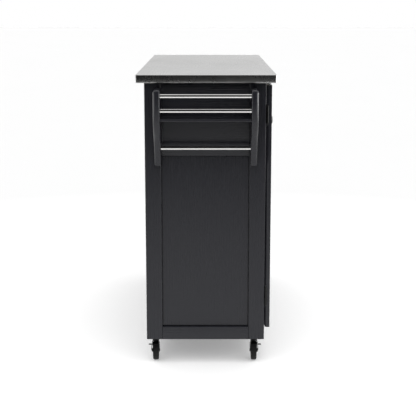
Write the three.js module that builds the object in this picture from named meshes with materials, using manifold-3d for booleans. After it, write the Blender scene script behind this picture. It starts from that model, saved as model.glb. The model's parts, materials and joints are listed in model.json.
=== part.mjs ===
// Kitchen island cart: a frame-and-panel cabinet on four swivel casters, with a steel-clad worktop,
// a door at each side of a stack of four drawers, and a spice shelf with a towel rod on one end.
// Millimetres, +Z up. X runs along the cart with the rack end at -X; the doors and drawers face -Y.

import * as THREE from 'three';
import Module from 'manifold-3d';
import { mergeVertices } from 'three/addons/utils/BufferGeometryUtils.js';

const wasm = await Module();
wasm.setup();

// ---------------------------------------------------------------- driving dimensions

const HEIGHT = 914;
const CLEARANCE = 0.3;

// How far a cutter stands out of the face it cuts, and how far joined solids reach into each other.
const PAST = 1;
const FUSE = 2;

const TOP = {
  length: 1165, width: 425, thickness: 24, cornerRadius: 8,
  skin: 1, skinReturn: 22, cornerSteps: 5,
};
const OVERHANG = 25;

const CASE_DEPTH = 370;
const CASE_BOTTOM = 82;
const BOARD = 15;

const STILE = { width: 50, thickness: 20 };
const END_RAIL = { bottomHeight: 41, topHeight: 223 };
const END_PANEL = { thickness: 6, recess: 10, tongue: 7.7 };

const FRONT_RAIL = { height: 40, thickness: 16 };
const BACK_FIELDS = { count: 3, border: 60, depth: 5 };
const CASTER_BLOCK = { length: 35, width: 36 };

const DOOR = { width: 344, thickness: 15, border: 55, fieldDepth: 4, bottom: 122, top: 882 };
const DOOR_GAP = 1.7;
const DOOR_INSET = 1;
const FRONT_GAP = 3;

const DRAWER = { count: 4, border: 38 };
const BOX = { height: 115, length: 320, wall: 12, floor: 8, lift: 20, sideGap: 1, grooveDepth: 6 };
const RUNNER = { height: 12, thickness: 6, above: 64, front: -160, back: 150 };

const SHELF = { thickness: 15, front: -150, back: 165, bottom: 486, sideGap: 1 };

const KNOB = { radius: 15, reach: 22, foot: 8.5, neck: 5.5, headDepth: 9, fromEdge: 30, height: 742 };

const HINGE = {
  heights: [793, 224], length: 52, knuckle: 9.2,
  radius: 3.2, pin: 1.5, leaf: 1.2, reach: 24,
};
const HINGE_AXIS = { outset: 0.5, beforeCase: 4.5 };
const HINGE_FIT = { neck: 1, behindDoor: 0.1, mortiseRoom: 1 };

const CASTER = { insetX: 29.5, insetFront: 30.5, insetBack: 26.5, trail: 18.5 };
const WHEEL = { radius: 31, halfWidth: 9.5, hubHalfWidth: 9.9, bore: 3.3 };
const YOKE = {
  halfWidth: 12.2, leg: 2, crownBottom: 66, crownTop: 73,
  crownReach: 14, legStart: 5.5, boss: 8, shoulder: 52,
};
const STEM = { radius: 5, top: 112, raceRadius: 12 };
const AXLE = { radius: 3, headRadius: 5, headReach: 2.2 };
const LEVER = { pivotX: 10.5, pivotZ: 57, plate: 1.2, stud: 2.4, studHead: 0.6, eye: 6, skirt: 13 };
const TAB = { reach: 23, top: 57.5, thickness: 1.5, behind: 4, ahead: 9 };
const SHOE = { radius: 37, thickness: 1.4, from: 8, to: 50 };

const RACK = {
  reach: 97, foot: 27, top: 874, bottom: 640,
  bend: 733, thickness: 21, cornerRadius: 8, socket: 8, forward: 1.5,
};
const RACK_SHELF = { reach: 90, bottom: 781, top: 790 };
const ROD_RADIUS = 6.35;
const RODS = [
  { name: 'rack_rod_upper', reach: 85, height: 856 },
  { name: 'rack_rod_lower', reach: 85, height: 813 },
  { name: 'towel_rod', reach: 34, height: 696 },
];

// ---------------------------------------------------------------- dimensions that follow

const caseTop = HEIGHT - TOP.thickness;
const endX = TOP.length / 2 - OVERHANG;
const backY = TOP.width / 2 - OVERHANG;
const frontY = backY - CASE_DEPTH;
const openFrontY = frontY + STILE.width;
const openBackY = backY - STILE.width;
const insideX = endX - STILE.thickness;
const panelBackY = backY - BOARD;
const doorBackY = frontY - DOOR_GAP;
const doorFrontY = doorBackY - DOOR.thickness;
const doorOuterX = endX - DOOR_INSET;
const doorInnerX = doorOuterX - DOOR.width;
const dividerX = doorInnerX - FRONT_GAP / 2;
const railBackY = frontY + FRONT_RAIL.thickness;
const deckTop = DOOR.bottom;
const deckBottom = deckTop - FRONT_RAIL.thickness;
const stackHeight = DOOR.top - DOOR.bottom - (DRAWER.count - 1) * FRONT_GAP;
const drawerFrontHeight = stackHeight / DRAWER.count;
const drawerHalfWidth = doorInnerX - FRONT_GAP;

// ---------------------------------------------------------------- materials

function finish(color, roughness, metalness) {
  return new THREE.MeshStandardMaterial({ color, roughness, metalness });
}

const blackPaint = finish(0x1d1d1f, 0.45, 0);
const steelSheet = finish(0xb9bab8, 0.32, 1);
const steelRod = finish(0xc8c8c4, 0.22, 1);
const boardCore = finish(0xa98f6c, 0.85, 0);
const bareWood = finish(0xcdb085, 0.7, 0);
const blackMetal = finish(0x111111, 0.4, 0.6);
const zincSteel = finish(0xa6a8aa, 0.35, 1);
const wheelRubber = finish(0x161616, 0.6, 0);

// ---------------------------------------------------------------- solids

function toSolid(geometry) {
  const bare = geometry.clone();
  bare.deleteAttribute('normal');
  bare.deleteAttribute('uv');
  const merged = mergeVertices(bare, 1e-4);
  const vertProperties = new Float32Array(merged.attributes.position.array);
  const triVerts = new Uint32Array(merged.index.array);
  return new wasm.Manifold(new wasm.Mesh({ numProp: 3, vertProperties, triVerts }));
}

function toGeometry(solid) {
  const mesh = solid.getMesh();
  const geometry = new THREE.BufferGeometry();
  geometry.setAttribute('position', new THREE.BufferAttribute(new Float32Array(mesh.vertProperties), 3));
  geometry.setIndex(new THREE.BufferAttribute(new Uint32Array(mesh.triVerts), 1));
  const flat = geometry.toNonIndexed();
  flat.computeVertexNormals();
  return flat;
}

// One body from geometries that reach into each other.
function join(...geometries) {
  const solids = geometries.map(toSolid);
  return toGeometry(solids.reduce((whole, next) => whole.add(next)));
}

// The first geometry with the others taken away.
function cut(geometry, ...tools) {
  const solids = tools.map(toSolid);
  return toGeometry(solids.reduce((rest, tool) => rest.subtract(tool), toSolid(geometry)));
}

// A box between two limits on each axis, given in either order.
function block([xa, xb], [ya, yb], [za, zb]) {
  const geometry = new THREE.BoxGeometry(Math.abs(xb - xa), Math.abs(yb - ya), Math.abs(zb - za));
  return geometry.translate((xa + xb) / 2, (ya + yb) / 2, (za + zb) / 2);
}

// A round bar along Z between two heights.
function barZ(radius, x, y, [za, zb], segments = 24) {
  const geometry = new THREE.CylinderGeometry(radius, radius, zb - za, segments);
  return geometry.rotateX(Math.PI / 2).translate(x, y, (za + zb) / 2);
}

// A round bar along Y between two places.
function barY(radius, x, z, [ya, yb], segments = 24) {
  const geometry = new THREE.CylinderGeometry(radius, radius, yb - ya, segments);
  return geometry.translate(x, (ya + yb) / 2, z);
}

// An outline in the XZ plane, extruded along Y between two places.
function plateY(outline, [ya, yb], curveSegments = 8) {
  const options = { depth: yb - ya, bevelEnabled: false, curveSegments };
  const geometry = new THREE.ExtrudeGeometry(outline, options);
  return geometry.rotateX(Math.PI / 2).translate(0, yb, 0);
}

// An outline in the YZ plane, extruded along X between two places.
function plateX(outline, [xa, xb], curveSegments = 8) {
  const options = { depth: xb - xa, bevelEnabled: false, curveSegments };
  const geometry = new THREE.ExtrudeGeometry(outline, options);
  return geometry.rotateZ(Math.PI / 2).rotateY(Math.PI / 2).translate(xa, 0, 0);
}

function outline(points) {
  return new THREE.Shape(points.map(([a, b]) => new THREE.Vector2(a, b)));
}

// A rectangle with round corners, centred on the axis, extruded between two heights.
function roundedSlab(length, width, radius, [za, zb], curveSegments = TOP.cornerSteps) {
  const shape = new THREE.Shape();
  const x = length / 2 - radius;
  const y = width / 2 - radius;
  shape.absarc(x, y, radius, 0, Math.PI / 2);
  shape.absarc(-x, y, radius, Math.PI / 2, Math.PI);
  shape.absarc(-x, -y, radius, Math.PI, 1.5 * Math.PI);
  shape.absarc(x, -y, radius, 1.5 * Math.PI, 2 * Math.PI);
  const options = { depth: zb - za, bevelEnabled: false, curveSegments };
  const geometry = new THREE.ExtrudeGeometry(shape, options);
  return geometry.translate(0, 0, za);
}

// ---------------------------------------------------------------- scene graph

const cart = new THREE.Group();

function place(name, geometry, material, position = [0, 0, 0], parent = cart) {
  const mesh = new THREE.Mesh(geometry, material.clone());
  mesh.name = name;
  mesh.position.set(...position);
  parent.add(mesh);
  return mesh;
}

// ---------------------------------------------------------------- worktop

// The sheet is one millimetre thick, folded down all four edges and turned back in underneath.
function worktopSkin() {
  const skin = TOP.skin;
  const under = TOP.skinReturn;
  const shell = roundedSlab(TOP.length, TOP.width, TOP.cornerRadius, [caseTop, HEIGHT]);
  const hollow = roundedSlab(
    TOP.length - 2 * skin,
    TOP.width - 2 * skin,
    TOP.cornerRadius - skin,
    [caseTop + skin, HEIGHT - skin],
  );
  const mouth = roundedSlab(
    TOP.length - 2 * under,
    TOP.width - 2 * under,
    TOP.cornerRadius,
    [caseTop - PAST, caseTop + skin + PAST],
  );
  return cut(shell, hollow, mouth);
}

// The board fills the sheet and steps down through its mouth to sit on the case.
function worktopCore() {
  const side = 2 * (TOP.skin + CLEARANCE);
  const step = 2 * (TOP.skinReturn + CLEARANCE);
  const radius = TOP.cornerRadius - TOP.skin - CLEARANCE;
  const filling = roundedSlab(
    TOP.length - side,
    TOP.width - side,
    radius,
    [caseTop + TOP.skin + CLEARANCE, HEIGHT - TOP.skin - CLEARANCE],
  );
  const foot = roundedSlab(
    TOP.length - step,
    TOP.width - step,
    TOP.cornerRadius,
    [caseTop + CLEARANCE, caseTop + TOP.skin + CLEARANCE + FUSE],
  );
  return join(filling, foot);
}

place('worktop_skin', worktopSkin(), steelSheet);
place('worktop_core', worktopCore(), boardCore);

// ---------------------------------------------------------------- case ends

// side is -1 for the rack end and 1 for the other.
function endAssembly(prefix, side) {
  const outer = side * endX;
  const inner = side * insideX;
  const grooveOuter = side * (endX - END_PANEL.recess + CLEARANCE);
  const grooveInner = side * (endX - END_PANEL.recess - END_PANEL.thickness - CLEARANCE);
  const panelOuter = side * (endX - END_PANEL.recess);
  const panelInner = side * (endX - END_PANEL.recess - END_PANEL.thickness);
  const reach = END_PANEL.tongue;
  const depth = reach + CLEARANCE;
  const railLimits = [openFrontY + CLEARANCE, openBackY - CLEARANCE];
  const tongueLimits = [openFrontY - reach, openBackY + reach];
  const topRailBottom = caseTop - END_RAIL.topHeight;
  const bottomRailTop = CASE_BOTTOM + END_RAIL.bottomHeight;

  function stile(yOuter, yInner, toward) {
    const body = block([outer, inner], [yOuter, yInner], [CASE_BOTTOM, caseTop]);
    const groove = block(
      [grooveOuter, grooveInner],
      [yInner - toward * PAST, yInner + toward * depth],
      [CASE_BOTTOM - PAST, caseTop + PAST],
    );
    return cut(body, groove);
  }

  function rail(zLimits, grooveLimits) {
    const body = block([outer, inner], railLimits, zLimits);
    const tongue = block([panelOuter, panelInner], tongueLimits, zLimits);
    const groove = block([grooveOuter, grooveInner], [-TOP.width, TOP.width], grooveLimits);
    return cut(join(body, tongue), groove);
  }

  place(`${prefix}_front_stile`, stile(frontY, openFrontY, -1), blackPaint);
  place(`${prefix}_back_stile`, stile(backY, openBackY, 1), blackPaint);
  place(
    `${prefix}_top_rail`,
    rail([topRailBottom, caseTop], [topRailBottom - PAST, topRailBottom + depth]),
    blackPaint,
  );
  place(
    `${prefix}_bottom_rail`,
    rail([CASE_BOTTOM, bottomRailTop], [bottomRailTop - depth, bottomRailTop + PAST]),
    blackPaint,
  );
  place(
    `${prefix}_panel`,
    block([panelOuter, panelInner], tongueLimits, [bottomRailTop - reach, topRailBottom + reach]),
    blackPaint,
  );
}

endAssembly('left_end', -1);
endAssembly('right_end', 1);

// ---------------------------------------------------------------- case boards

const betweenEnds = [-insideX + CLEARANCE, insideX - CLEARANCE];

// The back is one board with three shallow fields routed into its outer face.
function backPanel() {
  const { count, border, depth } = BACK_FIELDS;
  const board = block(betweenEnds, [panelBackY, backY], [CASE_BOTTOM, caseTop]);
  const fieldWidth = (2 * insideX - (count + 1) * border) / count;
  const fields = [];
  for (let i = 0; i < count; i += 1) {
    const start = -insideX + border + i * (fieldWidth + border);
    fields.push(block(
      [start, start + fieldWidth],
      [backY - depth, backY + PAST],
      [CASE_BOTTOM + border, caseTop - border],
    ));
  }
  return cut(board, ...fields);
}

function casterPlace(sideX, isFront) {
  const x = sideX * (endX - CASTER.insetX);
  const y = isFront ? frontY + CASTER.insetFront : backY - CASTER.insetBack;
  return [x, y];
}

// The floor of the cabinet, with a glued block under each corner that takes a caster's stem.
function deck() {
  const boardLimitsY = [railBackY + CLEARANCE, panelBackY - CLEARANCE];
  const pieces = [block(betweenEnds, boardLimitsY, [deckBottom, deckTop])];
  const sockets = [];
  for (const sideX of [-1, 1]) {
    for (const isFront of [true, false]) {
      const outerX = sideX * (insideX - CLEARANCE);
      const outerY = isFront ? boardLimitsY[0] : boardLimitsY[1];
      const inward = isFront ? 1 : -1;
      pieces.push(block(
        [outerX, outerX - sideX * CASTER_BLOCK.length],
        [outerY, outerY + inward * CASTER_BLOCK.width],
        [CASE_BOTTOM, deckBottom + FUSE],
      ));
      const [x, y] = casterPlace(sideX, isFront);
      sockets.push(barZ(STEM.radius + CLEARANCE, x, y, [CASE_BOTTOM - PAST, STEM.top + CLEARANCE]));
    }
  }
  return cut(join(...pieces), ...sockets);
}

function frontRail(zLimits) {
  return block(betweenEnds, [frontY, railBackY], zLimits);
}

function drawerBottom(index) {
  return DOOR.bottom + (DRAWER.count - index) * (drawerFrontHeight + FRONT_GAP);
}

// A divider carries four glued runner strips for the drawers, and is notched round the front top rail.
function divider(side) {
  const lower = deckTop + CLEARANCE;
  const upper = caseTop;
  const back = panelBackY - CLEARANCE;
  const notchY = railBackY + CLEARANCE;
  const notchZ = caseTop - FRONT_RAIL.height - CLEARANCE;
  const shape = outline([
    [frontY, lower], [back, lower], [back, upper], [notchY, upper], [notchY, notchZ], [frontY, notchZ],
  ]);
  const centre = side * dividerX;
  const board = plateX(shape, [centre - BOARD / 2, centre + BOARD / 2]);
  const face = side * (dividerX - BOARD / 2);
  const strips = [];
  for (let index = 1; index <= DRAWER.count; index += 1) {
    const z = drawerBottom(index) + BOX.lift + RUNNER.above + 2 * CLEARANCE;
    strips.push(block(
      [face + side * FUSE, face - side * RUNNER.thickness],
      [RUNNER.front, RUNNER.back],
      [z, z + RUNNER.height],
    ));
  }
  return join(board, ...strips);
}

function cupboardShelf(side) {
  const outer = side * (insideX - SHELF.sideGap);
  const inner = side * (dividerX + BOARD / 2 + SHELF.sideGap);
  return block([outer, inner], [SHELF.front, SHELF.back], [SHELF.bottom, SHELF.bottom + SHELF.thickness]);
}

place('back_panel', backPanel(), blackPaint);
place('deck', deck(), blackPaint);
place('front_top_rail', frontRail([caseTop - FRONT_RAIL.height, caseTop]), blackPaint);
place('front_bottom_rail', frontRail([CASE_BOTTOM, CASE_BOTTOM + FRONT_RAIL.height]), blackPaint);
place('left_divider', divider(-1), blackPaint);
place('right_divider', divider(1), blackPaint);
place('left_shelf', cupboardShelf(-1), blackPaint);
place('right_shelf', cupboardShelf(1), blackPaint);

// ---------------------------------------------------------------- knobs

// A mushroom knob turned about its own axis, with its foot at the origin and its head towards -Y.
function knob() {
  const { radius, reach, foot, neck, headDepth } = KNOB;
  const head = reach - headDepth;
  const profile = [
    [0, 0], [foot, 0], [foot, 2], [neck, 4.5], [neck + 1, head - 2], [radius, head + 2],
    [radius - 2, head + 6], [radius - 8, reach - 0.6], [0, reach],
  ];
  const points = profile.map(([r, along]) => new THREE.Vector2(r, along));
  return new THREE.LatheGeometry(points, 16).rotateX(Math.PI);
}

// ---------------------------------------------------------------- doors and their hinges

const hingeX = endX + HINGE_AXIS.outset;
const hingeY = frontY - HINGE_AXIS.beforeCase;
const knuckleRoom = HINGE.radius + 2 * CLEARANCE;

function door(side) {
  const outer = side * doorOuterX;
  const inner = side * doorInnerX;
  const { border, fieldDepth } = DOOR;
  const halfMortise = HINGE.length / 2 + HINGE_FIT.mortiseRoom;
  const board = block([outer, inner], [doorFrontY, doorBackY], [DOOR.bottom, DOOR.top]);
  const tools = [block(
    [outer - side * border, inner + side * border],
    [doorFrontY - PAST, doorFrontY + fieldDepth],
    [DOOR.bottom + border, DOOR.top - border],
  )];
  for (const height of HINGE.heights) {
    const limits = [height - halfMortise, height + halfMortise];
    tools.push(block(
      [outer + side * PAST, side * (hingeX - knuckleRoom)],
      [doorBackY + PAST, hingeY - knuckleRoom],
      limits,
    ));
    tools.push(block(
      [outer + side * PAST, side * (hingeX - HINGE.reach - HINGE_FIT.mortiseRoom)],
      [doorBackY + PAST, doorBackY - HINGE.leaf - 2 * CLEARANCE],
      limits,
    ));
  }
  return cut(board, ...tools);
}

// Both leaves are built about the hinge's axis, with their plates towards the door's free edge.
// The middle knuckle turns with the door.

function caseLeaf(side) {
  const half = HINGE.length / 2;
  const inward = -side;
  const back = frontY - CLEARANCE - hingeY;
  const front = back - HINGE.leaf;
  const { neck } = HINGE_FIT;
  const middle = HINGE.knuckle + CLEARANCE;
  const parts = [
    block([inward * knuckleRoom, inward * HINGE.reach], [front, back], [-half, half]),
    barZ(HINGE.pin, 0, 0, [-middle - FUSE, middle + FUSE], 12),
  ];
  for (const limits of [[-half, -middle], [middle, half]]) {
    parts.push(barZ(HINGE.radius, 0, 0, limits, 16));
    parts.push(block([-inward * neck, inward * (knuckleRoom + FUSE)], [front, back], limits));
    parts.push(block([-inward * neck, inward * neck], [1, back], limits));
  }
  return join(...parts);
}

function doorLeaf(side) {
  const half = HINGE.length / 2;
  const inward = -side;
  const back = doorBackY - HINGE_FIT.behindDoor - hingeY;
  const front = back - HINGE.leaf;
  const limits = [-HINGE.knuckle, HINGE.knuckle];
  const whole = join(
    block([inward * knuckleRoom, inward * HINGE.reach], [front, back], [-half, half]),
    block([0, inward * (knuckleRoom + FUSE)], [front, back], limits),
    barZ(HINGE.radius, 0, 0, limits, 16),
  );
  return cut(whole, barZ(HINGE.pin + CLEARANCE, 0, 0, [-HINGE.knuckle - PAST, HINGE.knuckle + PAST], 12));
}

for (const [prefix, side] of [['left', -1], ['right', 1]]) {
  place(`${prefix}_door`, door(side), blackPaint);
  const knobX = side * (doorInnerX + KNOB.fromEdge);
  place(`${prefix}_door_knob`, knob(), blackMetal, [knobX, doorFrontY - CLEARANCE, KNOB.height]);
  HINGE.heights.forEach((height, i) => {
    const level = ['upper', 'lower'][i];
    const at = [side * hingeX, hingeY, height];
    place(`${prefix}_${level}_hinge_case_leaf`, caseLeaf(side), blackMetal, at);
    place(`${prefix}_${level}_hinge_door_leaf`, doorLeaf(side), blackMetal, at);
  });
}

// ---------------------------------------------------------------- drawers

function drawerFront() {
  const { border } = DRAWER;
  const half = drawerHalfWidth;
  const board = block([-half, half], [doorFrontY, doorBackY], [0, drawerFrontHeight]);
  const field = block(
    [-half + border, half - border],
    [doorFrontY - PAST, doorFrontY + DOOR.fieldDepth],
    [border, drawerFrontHeight - border],
  );
  return cut(board, field);
}

// An open box with a groove along the outside of each wall, which rides on the runner strips.
function drawerBox() {
  const { wall, floor, height, length, sideGap, grooveDepth } = BOX;
  const half = dividerX - BOARD / 2 - sideGap;
  const start = doorBackY + CLEARANCE;
  const end = start + length;
  const bin = block([-half, half], [start, end], [0, height]);
  const inside = block([-half + wall, half - wall], [start + wall, end - wall], [floor, height + PAST]);
  const grooveLimits = [RUNNER.above, RUNNER.above + RUNNER.height + 3 * CLEARANCE];
  const grooves = [-1, 1].map((side) => block(
    [side * (half + PAST), side * (half - grooveDepth)],
    [RUNNER.front - FUSE, end + PAST],
    grooveLimits,
  ));
  return cut(bin, inside, ...grooves);
}

for (let index = 1; index <= DRAWER.count; index += 1) {
  const z = drawerBottom(index);
  place(`drawer_${index}_front`, drawerFront(), blackPaint, [0, 0, z]);
  place(`drawer_${index}_box`, drawerBox(), bareWood, [0, 0, z + BOX.lift]);
  place(
    `drawer_${index}_knob`,
    knob(),
    blackMetal,
    [0, doorFrontY + DOOR.fieldDepth - CLEARANCE, z + drawerFrontHeight / 2],
  );
}

// ---------------------------------------------------------------- end rack

const rackFace = -endX - CLEARANCE;
const rackFrontY = openFrontY - RACK.forward;
const rackBackY = openBackY - RACK.forward;

// Straight in front over the upper half, then swept back to a narrow foot.
function rackArm(yLimits, socketSide) {
  const { reach, foot, top, bottom, bend, cornerRadius } = RACK;
  const tip = -endX - reach;
  const shape = new THREE.Shape();
  shape.moveTo(rackFace, bottom);
  shape.lineTo(rackFace, top);
  shape.lineTo(tip + cornerRadius, top);
  shape.absarc(tip + cornerRadius, top - cornerRadius, cornerRadius, Math.PI / 2, Math.PI);
  shape.lineTo(tip, RACK_SHELF.bottom);
  shape.quadraticCurveTo(-endX - 2 * foot, bend, -endX - foot, bottom);
  const inner = socketSide > 0 ? yLimits[1] : yLimits[0];
  const sockets = RODS.map((rod) => barY(
    ROD_RADIUS + CLEARANCE,
    -endX - rod.reach,
    rod.height,
    socketSide > 0 ? [inner - RACK.socket, inner + PAST] : [inner - PAST, inner + RACK.socket],
    20,
  ));
  return cut(plateY(shape, yLimits), ...sockets);
}

place('rack_front_arm', rackArm([rackFrontY - RACK.thickness, rackFrontY], 1), blackPaint);
place('rack_back_arm', rackArm([rackBackY, rackBackY + RACK.thickness], -1), blackPaint);
place(
  'rack_shelf',
  block(
    [rackFace, -endX - RACK_SHELF.reach],
    [rackFrontY + CLEARANCE, rackBackY - CLEARANCE],
    [RACK_SHELF.bottom, RACK_SHELF.top],
  ),
  blackPaint,
);
const rodEnd = RACK.socket - CLEARANCE;
for (const rod of RODS) {
  place(
    rod.name,
    barY(ROD_RADIUS, -endX - rod.reach, rod.height, [rackFrontY - rodEnd, rackBackY + rodEnd], 20),
    steelRod,
  );
}

// ---------------------------------------------------------------- casters

// Each caster is built about its stem, on the floor, with the wheel trailing towards +X.
function yoke(hasBrake) {
  const { halfWidth, leg, crownBottom, crownTop, crownReach, legStart, boss, shoulder } = YOKE;
  const axleX = CASTER.trail;
  const axleZ = WHEEL.radius;
  const side = new THREE.Shape();
  side.moveTo(-crownReach, crownTop);
  side.lineTo(-crownReach, crownBottom);
  side.lineTo(-legStart, crownBottom);
  side.lineTo(axleX - boss, axleZ);
  side.absarc(axleX, axleZ, boss, Math.PI, 2 * Math.PI);
  side.lineTo(axleX + boss, shoulder);
  side.lineTo(crownReach, crownBottom);
  side.lineTo(crownReach, crownTop);
  const inner = halfWidth - leg;
  const slot = block([-crownReach - PAST, axleX + boss + PAST], [-inner, inner], [0, crownBottom]);
  const fork = cut(plateY(side, [-halfWidth, halfWidth], 5), slot);
  const parts = [
    fork,
    barZ(STEM.raceRadius, 0, 0, [crownTop - FUSE, CASE_BOTTOM - CLEARANCE], 24),
    barZ(STEM.radius, 0, 0, [crownTop, STEM.top], 16),
    barY(AXLE.radius, axleX, axleZ, [-halfWidth, halfWidth], 16),
  ];
  const headEnds = [inner, halfWidth + AXLE.headReach];
  const studEnds = [inner, halfWidth + CLEARANCE + LEVER.plate + LEVER.studHead];
  for (const sign of [-1, 1]) {
    parts.push(barY(AXLE.headRadius, axleX, axleZ, span(headEnds, sign), 12));
    if (hasBrake) {
      parts.push(barY(LEVER.stud, LEVER.pivotX, LEVER.pivotZ, span(studEnds, sign), 12));
    }
  }
  return join(...parts);
}

// Two limits on the side of the sign, lowest first.
function span(limits, sign) {
  return limits.map((limit) => sign * limit).sort((a, b) => a - b);
}

function wheel() {
  const { radius, halfWidth, hubHalfWidth, bore } = WHEEL;
  const half = [
    [bore, hubHalfWidth], [8, hubHalfWidth], [9, halfWidth - 3.5], [22, halfWidth - 3.5],
    [23.5, halfWidth], [radius - 3, halfWidth], [radius, halfWidth - 3],
  ];
  const mirrored = half.map(([r, y]) => [r, -y]).reverse();
  const ring = [...half, ...mirrored, half[0]].map(([r, y]) => new THREE.Vector2(r, y));
  return new THREE.LatheGeometry(ring.reverse(), 24);
}

// A pressed lever that straddles the fork and pivots on a stud in each leg. Its shoe curves round the
// front of the tread, and a foot tab sticks out sideways; outside is the sign of Y on the tab's side.
function brakeLever(outside) {
  const { radius, thickness, from, to } = SHOE;
  const { pivotX, pivotZ, plate, stud, eye, skirt } = LEVER;
  const near = YOKE.halfWidth + CLEARANCE;
  const axleX = CASTER.trail;
  const axleZ = WHEEL.radius;
  const low = Math.PI - THREE.MathUtils.degToRad(from);
  const high = Math.PI - THREE.MathUtils.degToRad(to);
  const arc = new THREE.Shape();
  arc.absarc(axleX, axleZ, radius, low, high, true);
  arc.absarc(axleX, axleZ, radius + thickness, high, low, false);
  const parts = [plateY(arc, [-near - plate, near + plate], 6)];
  const side = new THREE.Shape();
  side.absarc(axleX, axleZ, radius + thickness, low, high, true);
  side.lineTo(pivotX - eye - FUSE, TAB.top);
  side.absarc(pivotX, pivotZ, eye, 0.6 * Math.PI, -0.4 * Math.PI, true);
  side.lineTo(axleX + (radius + thickness) * Math.cos(low) + skirt, axleZ + eye + FUSE);
  for (const sign of [-1, 1]) {
    parts.push(plateY(side, span([near, near + plate], sign), 6));
  }
  const tabX = axleX + radius * Math.cos(high);
  const tabLimits = [tabX - TAB.behind, tabX + TAB.ahead];
  parts.push(block(tabLimits, span([near, TAB.reach], outside), [TAB.top - TAB.thickness, TAB.top]));
  const hole = barY(stud + CLEARANCE, pivotX, pivotZ, [-TAB.reach, TAB.reach], 12);
  return cut(join(...parts), hole);
}

for (const [prefix, sideX] of [['left', -1], ['right', 1]]) {
  for (const [row, isFront] of [['front', true], ['back', false]]) {
    const stand = new THREE.Group();
    const [x, y] = casterPlace(sideX, isFront);
    stand.position.set(x, y, 0);
    stand.rotation.z = sideX < 0 ? 0 : Math.PI;
    cart.add(stand);
    const hasBrake = sideX < 0;
    const outside = isFront ? -1 : 1;
    const name = `caster_${prefix}_${row}`;
    place(`${name}_yoke`, yoke(hasBrake), zincSteel, [0, 0, 0], stand);
    place(`${name}_wheel`, wheel(), wheelRubber, [CASTER.trail, 0, WHEEL.radius], stand);
    if (hasBrake) {
      place(`${name}_brake_lever`, brakeLever(outside), zincSteel, [0, 0, 0], stand);
    }
  }
}

// ---------------------------------------------------------------- origin

// The origin is on the floor, in the middle of the cart's overall length and depth.
const lowestX = -endX - RACK.reach;
const highestX = TOP.length / 2;
const lowestY = doorFrontY - CLEARANCE - KNOB.reach;
const highestY = TOP.width / 2;
cart.position.set(-(lowestX + highestX) / 2, -(lowestY + highestY) / 2, 0);

export default cart;
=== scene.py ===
"""Looks for the kitchen island cart: materials, detailed pieces, studio and camera.

Metres, +Z up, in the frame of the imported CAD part. The rack end is at -X and the doors face -Y.
"""

import json
import math

import bmesh
import bpy
from mathutils import Matrix, Vector


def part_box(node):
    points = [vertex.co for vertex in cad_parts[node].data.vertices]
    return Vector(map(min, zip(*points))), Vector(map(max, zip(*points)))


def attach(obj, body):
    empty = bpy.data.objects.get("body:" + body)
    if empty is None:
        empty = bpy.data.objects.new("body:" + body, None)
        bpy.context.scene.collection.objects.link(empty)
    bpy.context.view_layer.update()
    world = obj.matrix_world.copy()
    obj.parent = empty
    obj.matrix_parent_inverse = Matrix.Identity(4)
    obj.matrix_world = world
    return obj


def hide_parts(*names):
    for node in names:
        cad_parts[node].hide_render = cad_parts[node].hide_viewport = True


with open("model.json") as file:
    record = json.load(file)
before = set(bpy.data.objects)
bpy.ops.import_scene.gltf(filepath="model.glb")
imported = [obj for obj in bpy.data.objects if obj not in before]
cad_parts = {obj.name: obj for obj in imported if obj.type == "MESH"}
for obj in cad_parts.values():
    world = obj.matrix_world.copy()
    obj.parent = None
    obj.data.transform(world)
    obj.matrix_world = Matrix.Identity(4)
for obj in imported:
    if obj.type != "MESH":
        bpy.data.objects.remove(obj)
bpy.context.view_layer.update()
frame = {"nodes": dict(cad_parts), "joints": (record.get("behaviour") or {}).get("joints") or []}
joint_at = {j["name"]: Vector(j["pos_m"]) for j in frame["joints"] if "pos_m" in j}
SCENE = bpy.context.scene
SIDE_SIGN = {"left": -1, "right": 1}
MM = 0.001

# ---------------- camera

CAMERA_BEFORE_TOP = 3.152
CAMERA_ASIDE = -0.0057
CAMERA_HEIGHT = 1.1356
CAMERA_PITCH = 11.23
CAMERA_LENS = 90.95


def make_camera():
    lo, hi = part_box("worktop_skin")
    data = bpy.data.cameras.new("camera")
    data.sensor_width = 36
    data.lens = CAMERA_LENS
    camera = bpy.data.objects.new("camera", data)
    camera.location = (lo.x - CAMERA_BEFORE_TOP, (lo.y + hi.y) / 2 + CAMERA_ASIDE, CAMERA_HEIGHT)
    camera.rotation_euler = (math.radians(90 - CAMERA_PITCH), 0, math.radians(-90))
    SCENE.collection.objects.link(camera)
    SCENE.camera = camera


make_camera()

# ---------------- shells
# A shell is a closed surface: (corners, faces). Lengths are metres unless a scale is applied later.


def around(radius, angle):
    return radius * math.cos(angle), radius * math.sin(angle)


def band(low, high, n):
    """The faces between two rings of n corners. low and high are the rings' first corners."""
    return [(low + k, low + (k + 1) % n, high + (k + 1) % n, high + k) for k in range(n)]


def box(lo, hi):
    corners = [(x, y, z) for x in (lo[0], hi[0]) for y in (lo[1], hi[1]) for z in (lo[2], hi[2])]
    faces = [(0, 1, 3, 2), (4, 6, 7, 5), (0, 4, 5, 1), (2, 3, 7, 6), (0, 2, 6, 4), (1, 5, 7, 3)]
    return corners, faces


def prism(outline, axis, start, end):
    """An outline in the plane across the axis, drawn out between two places on it."""

    def corner(point, along):
        u, v = point
        return {"X": (along, u, v), "Y": (u, along, v), "Z": (u, v, along)}[axis]

    n = len(outline)
    corners = [corner(p, start) for p in outline] + [corner(p, end) for p in outline]
    return corners, [tuple(range(n)), tuple(range(n, 2 * n)), *band(0, n, n)]


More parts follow.
